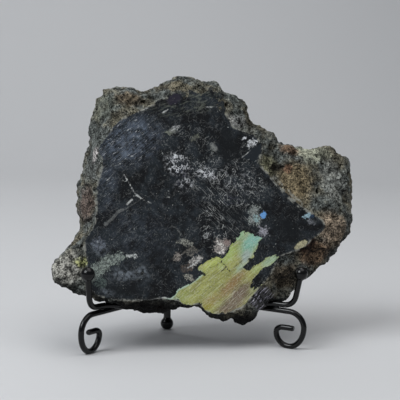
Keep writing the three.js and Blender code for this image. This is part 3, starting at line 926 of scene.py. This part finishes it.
stoneLook = {
    "black": (7, 8, 10),
    "cloud": ((36, 42, 47), 0.8),
    "grain": (112, 118, 122),
    "sheen": (122, 134, 152),
    "dashes": ((238, 240, 244), 0.5),
    "felt": ((196, 198, 196), 0.58), "longNeedles": ((196, 198, 196), 0.45),
    "spark": (238, 240, 244),
    "specks": ((196, 198, 196), 0.35),
    "brush": ((112, 116, 106), 0.55), "violet": ((86, 80, 112), 0.7), "calm": ((14, 17, 19), 0.8),
    "feltWarm": ((136, 116, 110), 0.7),
    "whiteVein": ((205, 207, 205), 0.95), "greyVein": ((128, 130, 128), 0.6),
    "mist": ((126, 134, 142), 0.75),
    "crack": ((24, 26, 22), 0.9),
    "rough": ((100, 104, 101), (110, 106, 92)),
    "roughDark": 0.06,                 # how dark and how light the grains of the rough sides get
    "roughLight": 1.7,
    "roughNeedles": 0.8, "roughHoles": 0.8, "roughFlecks": 2.0,
    # Painted shade on the sides of the stone that face down.
    "underside": 0.8,                  # how much darker the sides that face down are
    "glints": ((176, 172, 186), 0.8),
    # Painted highlight along the polished edge: its colour and share.
    "edgeHighlight": (150, 150, 142), "edgeHighlightShare": 0.75,
    "specular": 0.12,                  # the rough sides hardly shine
    "polishCoat": 0.85,                # the polish lies on the face like a clear coat
    "coatRoughness": 0.12,
    "bumpStrength": 0.9, "bumpDepth": 0.8,
}
# The yellow-green patch.
schillerLook = {
    "ground": ((147, 147, 84), (170, 172, 102)),
    "darkLines": ((92, 90, 62), 0.45), "paleLines": ((214, 214, 190), 0.4),
    "crossLines": ((92, 96, 66), 0.45),
    "scuff": (212, 218, 204), "scuffShare": 0.36, "frostShare": 0.25,
    "ribs": ((84, 68, 58), 0.55), "paleRibs": ((200, 192, 172), 0.55),
    "dull": ((98, 100, 72), 0.42), "moss": ((92, 110, 54), 0.6), "rim": ((180, 208, 196), 0.7),
    "stepSize": 1.1,                   # millimetres that the blocks along its edge stand in or out
}
# Ovals of the figure: centre, reach along and across, angle, evenness, strength.
figure = {
    "sheen": [((-34, 28), (24, 17), 25, 0.35, 1), ((-46, 6), (9, 24), 0, 0.1, 0.5),
              ((-30, -20), (26, 22), 0, 0.1, 0.22)],
    "felt": [((20, 8), (32, 22), -28, 0.4, 1), ((12, -14), (18, 12), -45, 0.4, 1),
             ((-2, 30), (26, 17), 10, 0.3, 0.45)],
    "longNeedles": [((15, -6), (26, 12), -44, 0.5, 1)],
    "sparks": [((-8, 17), (9, 8), 0, 0.4, 0.85), ((7, 12.5), (12, 5), -20, 0.2, 0.8),
               ((-4, 6), (8, 6), 20, 0.2, 0.5), ((24, 9), (22, 12), -22, 0.2, 0.16)],
    "brightest": [((-8.5, 19.5), (6, 3), 10, 0.1, 1), ((8, 12), (3.5, 2.5), 0, 0.1, 0.6)],
    "brush": [((2, 50), (34, 9), 12, 0.3, 1)],
    "violet": [((22, -2), (8, 6), 0, 0.1, 1), ((-6, 10), (8, 10), 0, 0.1, 0.6)],
    "calm": [((23, -9), (8, 5), 0, 0.4, 1), ((52, -17), (14, 8), -30, 0.4, 1),
             ((-38, -49), (16, 4), 0, 0.3, 1), ((30.5, 27.5), (3, 2.4), 45, 0.4, 1)],
    "feltWarm": [((17.9, -24.7), (2.6, 2.2), 0, 0.4, 1)],
    "mist": [((-37, -41), (13, 6), 0, 0.1, 1), ((-50, -28), (7, 5), -20, 0.1, 1),
             ((-28, -40), (5, 7), 30, 0.1, 1), ((-47, -50), (6, 3), 0, 0.2, 1)],
    "frosted": [((31, -28), (10, 8), 50, 0.3, 1)],
    "combed": [((22, -55), (17, 8), 35, 0.4, 1)],
    "moss": [((-7, -53), (9, 6), 0, 0.3, 1)],
    "paleRim": [((-2, -46), (24, 6), 28, 0.4, 1)],
    "slick": [((38, -54, -2), (11, 7.5), 0, 0.5, 1)],
    "melting": [((6, 50), (34, 11), 8, 0.3, 1)],
    "fringe": [((54.5, 4), (21, 6), -47, 0.3, 1)],
}
# Needles: size of cell, half width, half length, seed.
needleKinds = {
    "felt": [(1.7, 0.22, 1.1, 21), (2.6, 0.24, 1.7, 22), (3.8, 0.24, 2.6, 23), (1.3, 0.24, 0.8, 24)],
    "crossing": [(1.5, 0.30, 1.0, 53), (1.1, 0.28, 0.8, 56)],
    "roughHoles": [(3.0, 0.42, 1.8, 77)],
    "roughNeedles": [(2.0, 0.32, 1.1, 78), (1.4, 0.30, 0.7, 79)],
}
# Outlined markings: colour, how ragged, how even, strength, fade at the edge.
outlined = {
    "greyTeal": ((158, 164, 160), 11, 0.25, 0.9, 0.35),
    "blueSpot": ((108, 160, 218), 2.5, 0.85, 1.0, 0.25), "lilac": ((172, 171, 180), 9, 0.35, 0.95, 0.3),
    "whiteFelt": ((170, 162, 156), 7, 0.3, 1.0, 0.35), "greyFleck": ((176, 178, 178), 9, 0.1, 0.9, 0.35),
    "paleGreen": ((152, 162, 154), 9, 0.25, 0.9, 0.5), "tanOval": ((186, 180, 146), 2, 0.5, 1.0, 0.3),
    "slateFacet": ((30, 35, 40), 1.0, 0.95, 1.0, 0.2), "plumSpot": ((42, 38, 50), 4, 0.85, 0.95, 0.6),
    "iceBlue": ((158, 186, 198), 4, 0.6, 1.0, 0.25), "deepBlue": ((44, 62, 84), 3, 0.8, 1.0, 0.25),
}
# Fibrous tufts on the polished face, and two painted glints: colour, centre, reach, angle, strength.
tuftsAndGlints = [
    ((156, 156, 146), (-5, -24.7), (6.5, 2.8), -8, 0.9),
    ((166, 158, 150), (-9.3, -32), (4.6, 3.8), 60, 0.8),
    ((120, 116, 108), (-1.5, -29.5), (7, 3.4), 10, 0.8),
    ((196, 192, 186), (0.5, -34.2), (7, 3.6), 36, 1.0), ((92, 82, 74), (-4.6, -38), (5, 4), 0, 0.9),
    ((166, 164, 152), (-3.6, -42.6), (6, 2.2), -35, 0.9),
    ((240, 236, 228), (14.2, -25.6), (4, 1.6), -50, 1.0),
    ((240, 236, 228), (14.6, -29.2), (3, 1.5), 20, 1.0),
    # The white ones at (34, 29.6) and (29.5, 31.5), by the slate facet, are painted glints where its
    # cleavage catches the light.
    ((146, 176, 178), (34.6, -11.6), (3.6, 3), 30, 0.9), ((226, 228, 230), (34, 29.6), (5.5, 3), 30, 1.0),
    ((214, 216, 220), (29.5, 31.5), (2.6, 1.4), 40, 1.0),
    ((150, 152, 158), (66.5, -13), (4.5, 2), -20, 0.6),
    ((186, 188, 188), (-8.5, 36), (3.6, 2.2), 25, 0.75),
    ((150, 154, 140), (-11.5, 33.8), (4.5, 2), 15, 0.7),
    ((150, 154, 146), (12, 26.5), (3.6, 3.2), 60, 0.55), ((120, 122, 110), (2, 31), (5, 2), 30, 0.7),
    ((206, 210, 208), (-33.5, -31.6), (5, 1.8), -5, 0.9), ((112, 128, 122), (-49.5, -45), (5, 5), 0, 0.6),
    ((128, 134, 148), (-50.5, -26), (5, 6.5), 60, 0.5),
]
# Tints of the rough sides, some of them painted shade: colour, centre (across, up, out), reach across and
# up, strength.
stains = [
    ((136, 121, 93), (59, 9, -3.5), (15, 16), 0.85), ((176, 132, 108), (54.5, 16.7, -2), (4, 3), 0.55),
    ((128, 104, 84), (58, 27.5, -5), (9, 4), 0.85), ((124, 122, 96), (44, 18, -1.6), (7, 8), 0.8),
    ((172, 174, 154), (74, 27, -8), (14, 8), 0.8), ((154, 156, 150), (84, 12, -7), (12, 16), 0.7),
    ((146, 130, 112), (80, -16, -3), (13, 13), 0.9), ((134, 110, 88), (70, -30, -3), (14, 9), 0.9),
    ((54, 36, 30), (63.5, -25, -1.5), (9, 7.5), 0.9), ((120, 111, 90), (-7, 58.5, -1), (10, 4), 0.7),
    ((120, 106, 86), (-33, 50.5, -2), (11, 5), 0.8), ((102, 106, 96), (-46, 48, -10), (12, 10), 0.6),
    ((198, 192, 189), (-51.5, 21, -3), (2, 6), 0.8), ((104, 88, 80), (-55, -4, -9), (6, 13), 0.8),
    ((92, 94, 92), (-52, 12, -9), (6, 9), 0.6), ((160, 158, 150), (-68, -38, -3), (14, 12), 0.9),
    # The tints (17, 13, 11), (11, 10, 10) and (40, 32, 26) darken the underside: dark stone with painted
    # shade.
    ((158, 160, 112), (-58.5, -34.2, -1.5), (6.5, 3), 1.0), ((17, 13, 11), (-26, -69, -4), (52, 26), 1.0),
    ((11, 10, 10), (27, -76, -6), (30, 27), 1.0), ((40, 32, 26), (-66, -58, -10), (16, 12), 0.9),
    ((92, 82, 68), (52, -42, -4), (13, 9), 0.9), ((20, 20, 23), (38, -54, -2), (12, 8), 1.0),
    ((150, 150, 148), (26, 41, -1.5), (8, 5), 0.7), ((118, 118, 112), (32, 37, -3), (8, 6), 0.6),
    # Painted shade: a dark tint inside the hollow at (47.6, 16.9).
    ((30, 25, 20), (48, 17, -1), (5.5, 3.6), 0.9),
]
# Tints of the yellow-green patch: colour, centre, reach, angle, strength.
schillerTints = [
    ((150, 158, 92), (-8, -53), (9, 5), 30, 0.7), ((186, 196, 108), (9.5, -35.5), (9, 3.6), 38, 0.9),
    ((166, 186, 104), (19, -30), (10, 5), 50, 0.9), ((136, 186, 166), (31, -24.5), (12, 6.8), 55, 1.0),
    ((140, 190, 178), (35, -22), (8, 3), 30, 1.0), ((164, 180, 172), (28.5, -32), (6.5, 4), 55, 1.0),
    ((168, 190, 168), (25, -38), (6, 2.6), 40, 0.8), ((158, 184, 152), (42, -34), (9, 4), 32, 1.0),
    ((172, 186, 118), (34, -38.5), (4, 3), 35, 0.8), ((148, 122, 80), (20, -46.5), (16, 4.6), 42, 1.0),
    ((158, 136, 84), (8, -55), (8, 4), 40, 0.7), ((116, 96, 82), (24, -51.5), (15, 5.4), 42, 1.0),
    ((126, 110, 92), (19, -57.5), (15, 5.4), 30, 1.0), ((156, 148, 66), (6, -58), (5, 3), 30, 0.9),
    ((150, 154, 108), (32, -50), (7, 3.4), 50, 0.9), ((190, 204, 190), (-13.5, -53), (5, 2), 0, 0.8),
    ((176, 190, 120), (14.5, -37.5), (3, 2.4), 40, 0.7),
    ((150, 190, 152), (25, -20.5), (7, 3.6), 40, 0.9),
]


def polishedColour(stone):
    look = stoneLook
    cloud = stone.noise(7.0, 11, 4.0).eased(0.38, 0.66)
    grain = stone.noise(0.9, 12, 3.0, 0.7).eased(0.53, 0.72)
    colour = stone.lay(cloud, look["black"], look["cloud"])
    colour = stone.blend(grain * (cloud * 0.36 + 0.10), colour, look["grain"])

    sheenArea = stone.area("sheen")
    brushed = stone.streaks(42, 7.0, 0.6, 13, 3.0).eased(0.44, 0.62)
    veil = stone.noise(4.0, 14, 4.0).eased(0.40, 0.66)
    colour = stone.blend(sheenArea * (brushed * 0.22 + veil * 0.32 + grain * 0.34), colour, look["sheen"])
    dashes = stone.streaks(38, 2.6, 0.32, 15).eased(0.64, 0.70) * sheenArea
    colour = stone.lay(dashes, colour, look["dashes"])

    felt = stone.felt(needleKinds["felt"]).eased(0.25, 1.0)
    feltArea = stone.area("felt").most(0.2) * stone.noise(3.2, 41, 4.0).eased(0.42, 0.60)
    colour = stone.lay(felt * feltArea, colour, look["felt"])
    longer = stone.streaks(-45, 8.0, 0.36, 42).eased(0.60, 0.67) * stone.area("longNeedles")
    colour = stone.lay(longer, colour, look["longNeedles"])

    sparkArea = stone.area("sparks")
    crystals = stone.make("ShaderNodeTexVoronoi", {"feature": "DISTANCE_TO_EDGE"}, {
        "Vector": stone.wavering(1.2, 43, 1.2), "Scale": 1 / 1.5})
    sparks = crystals.eased(0.11, 0.04).most(stone.needles(1.2, 0.28, 0.8, 26) * 1.2)
    sparks = sparks * sparkArea * stone.noise(1.8, 44, 3.0).eased(0.46, 0.60)
    colour = stone.blend(sparks, colour, look["spark"])
    bright = stone.area("brightest") * stone.noise(0.9, 48, 3.0, 0.7).eased(0.53, 0.61)
    colour = stone.blend(bright, colour, look["spark"])
    specks = stone.noise(0.6, 45, 1.0).eased(0.68, 0.75) * stone.noise(8.0, 46, 2.0).eased(0.42, 0.6)
    colour = stone.lay(specks, colour, look["specks"])

    brush = stone.area("brush") * stone.streaks(20, 4.0, 1.0, 47, 4.0).eased(0.50, 0.64)
    colour = stone.lay(brush, colour, look["brush"])
    colour = stone.lay(stone.area("violet") * grain, colour, look["violet"])
    calm = stone.reach("smoothDark").eased(-2.0, 1.5).most(stone.area("calm"))
    return stone.lay(calm, colour, look["calm"])


def withPatches(stone, colour):
    # The outlined markings, the tufts and the painted glints, each with a frayed edge and its own broken
    # tone.
    look = stoneLook
    fray = (stone.noise(0.9, 51, 3.0, 0.7) - 0.5) + (stone.noise(2.6, 55, 2.0) - 0.5) * 0.7
    fibre = stone.streaks(40, 1.8, 0.45, 52, 3.0).eased(0.45, 0.60)
    crossing = stone.felt(needleKinds["crossing"]).eased(0.1, 0.7)
    broken = fibre.most(crossing) * stone.noise(1.4, 58, 3.0).eased(0.36, 0.52)
    for name, (tint, ragged, even, strength, fade) in outlined.items():
        inside = (stone.reach(name) + fray * ragged).eased(-fade, fade)
        colour = stone.blend(inside * strength * (broken * (1 - even) + even), colour, tint)
    wavy = stone.wavering(2.0, 57, 5.0)
    for tint, centre, reach, angle, strength in tuftsAndGlints:
        tuft = (stone.blob(centre, reach, angle, 0.1, wavy) + fray * 1.4).eased(0.3, 0.5)
        colour = stone.blend(tuft * strength * (broken * 0.85 + 0.15), colour, tint)
    colour = stone.lay(stone.area("feltWarm"), colour, look["feltWarm"])
    for name in ("greyVein", "whiteVein"):
        tint, strength = look[name]
        line = (stone.reach(name) + fray * 0.9 - 0.1).eased(-0.2, 0.25)
        colour = stone.blend(line * strength * (broken * 0.55 + 0.45), colour, tint)
    wisps = stone.area("mist") * stone.noise(2.6, 54, 5.0, 0.65).eased(0.40, 0.66)
    return stone.lay(wisps, colour, look["mist"])


def schillerColour(stone):
    look = schillerLook
    wavy = stone.wavering(2.4, 61, 4.0)
    colour = stone.blend(stone.streaks(38, 12.0, 2.2, 62, 3.0).eased(0.38, 0.62), *look["ground"])
    for tint, centre, reach, angle, strength in schillerTints:
        colour = stone.blend(stone.blob(centre, reach, angle, 0.2, wavy) * strength, colour, tint)
    lines = stone.streaks(37, 6.0, 0.45, 63, 2.0)
    colour = stone.lay(lines.eased(0.54, 0.66), colour, look["darkLines"])
    colour = stone.lay(lines.eased(0.44, 0.34), colour, look["paleLines"])
    cross = stone.streaks(-48, 5.0, 0.45, 64, 2.0).eased(0.62, 0.70)
    colour = stone.lay(cross, colour, look["crossLines"])
    frosted = stone.area("frosted", wavy) * look["frostShare"] + look["scuffShare"]
    scuffed = stone.noise(0.9, 65, 4.0, 0.7).eased(0.50, 0.64) * frosted
    colour = stone.blend(scuffed, colour, look["scuff"])
    combed = stone.area("combed", wavy)
    ribs = stone.streaks(40, 7.0, 0.5, 68, 2.0)
    colour = stone.lay(ribs.eased(0.52, 0.60) * combed, colour, look["ribs"])
    colour = stone.lay(ribs.eased(0.46, 0.38) * combed, colour, look["paleRibs"])
    dulled = stone.noise(1.3, 67, 4.0, 0.7).eased(0.52, 0.66)
    colour = stone.lay(dulled, colour, look["dull"])
    moss = stone.streaks(-40, 3.0, 1.3, 66, 2.0).eased(0.53, 0.64) * stone.area("moss")
    colour = stone.lay(moss, colour, look["moss"])
    rim = stone.reach("schiller").eased(1.1, 0.2) * stone.area("paleRim")
    return stone.lay(rim, colour, look["rim"])


def roughColour(stone, coarse, fine):
    # Colour and evenness of the broken sides, with painted shade where the relief is low and on the sides
    # that face down.
    look = stoneLook
    wavy = stone.wavering(5.0, 72, 8.0)
    tint = stone.blend(stone.noise(12.0, 73, 3.0).eased(0.42, 0.60), *look["rough"])
    for colour, centre, reach, strength in stains:
        tint = stone.blend(stone.blob(centre, reach, 0, 0.45, wavy) * strength, tint, colour)
    level = (coarse * 1.1 + fine * 1.6 - 1.35).eased(-0.34, 0.36)
    # Painted shade: the broken sides are darkened where the relief sinks into hollows.
    low = stone.reach("relief").eased(-1.5, 0.1, (0.5, 1.0))
    # Painted shade: the sides that face down are darkened as if in shadow.
    under = stone.facingUp().eased(-0.1, -0.6) * look["underside"]
    dark = stone.felt(needleKinds["roughHoles"], False) * look["roughHoles"]
    light = stone.felt(needleKinds["roughNeedles"], False) * look["roughNeedles"]
    flecks = stone.noise(0.6, 82, 1.0).eased(0.66, 0.73) * look["roughFlecks"]
    scale = (level ** 1.4) * (look["roughLight"] - look["roughDark"]) + look["roughDark"]
    scale = (scale + light + flecks) * low * (1 - dark) * (1 - under)
    return stone.vector("SCALE", tint, scale), level


def stoneFinish():
    stone, look = Finish("nuummite"), stoneLook
    polished = withPatches(stone, polishedColour(stone))
    fray = stone.noise(0.8, 71, 3.0) - 0.5
    blocks = stone.make("ShaderNodeTexVoronoi", {"distance": "CHEBYCHEV"}, {
        "Vector": stone.stretched(38, 2.6, 1.3), "Scale": 1.0, "Randomness": 0.7})
    step = (stone.ownNumber(blocks) - 0.5) * schillerLook["stepSize"]
    schiller = (stone.reach("schiller") + fray * 0.5 + step).eased(-0.10, 0.16)
    polished = stone.blend(schiller, polished, schillerColour(stone))
    crack = (stone.reach("crack") + fray * 0.5).eased(-0.12, 0.12)
    polished = stone.lay(crack, polished, look["crack"])

    coarse = stone.noise(3.0, 74, 5.0, 0.62)
    fine = stone.noise(0.8, 75, 3.0, 0.6)
    rough, level = roughColour(stone, coarse, fine)
    slick = stone.area("slick")
    glints = stone.streaks(42, 4.0, 0.6, 80, 2.0).eased(0.56, 0.64) * slick
    rough = stone.lay(glints, rough, look["glints"])

    # The polished edge is sharp, but along the top it melts into the rough side.
    melting = stone.area("melting")
    edge = stone.reach("polish") + melting * (stone.noise(3.4, 76, 4.0) - 0.58) * 24
    # A pale band along the polished edge is painted highlight, wider along the fringe and gone where the
    # edge melts.
    wearAndEdgeHighlight = (edge.size() - stone.area("fringe") * 2.6).eased(1.0, 0.1) * coarse.eased(0.47, 0.58)
    wearAndEdgeHighlight = wearAndEdgeHighlight * look["edgeHighlightShare"] * (1 - melting)
    shine = (edge + fray * 0.5).eased(-0.12, 0.12)
    colour = stone.blend(wearAndEdgeHighlight, stone.blend(shine, rough, polished), look["edgeHighlight"])
    gloss = (0.80 - level * 0.25) * (1 - shine) + (0.32 + fine.eased(0.4, 0.7) * 0.1) * shine
    coat = shine.most(slick) * look["polishCoat"]
    grit = stone.make("ShaderNodeTexVoronoi", sockets={"Vector": stone.place, "Scale": 1 / 1.15})
    height = (coarse * 0.8 + fine * 0.35 + grit * -0.3) * (1 - shine) + crack * -0.4
    height = height + stone.noise(2.4, 81, 2.0) * 0.012 * shine
    bump = stone.bump(height, look["bumpStrength"], look["bumpDepth"] * mm)
    return stone.finish(Base_Color=colour, Roughness=gloss, Normal=bump, Coat_Weight=coat,
                        Coat_Roughness=look["coatRoughness"], Specular_IOR_Level=look["specular"])


def makeStone():
    piece = newPiece("polished_stone", stoneMesh(stoneFinish()))
    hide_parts("stone")
    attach(piece, "root")


makeStone()
print("stone made")
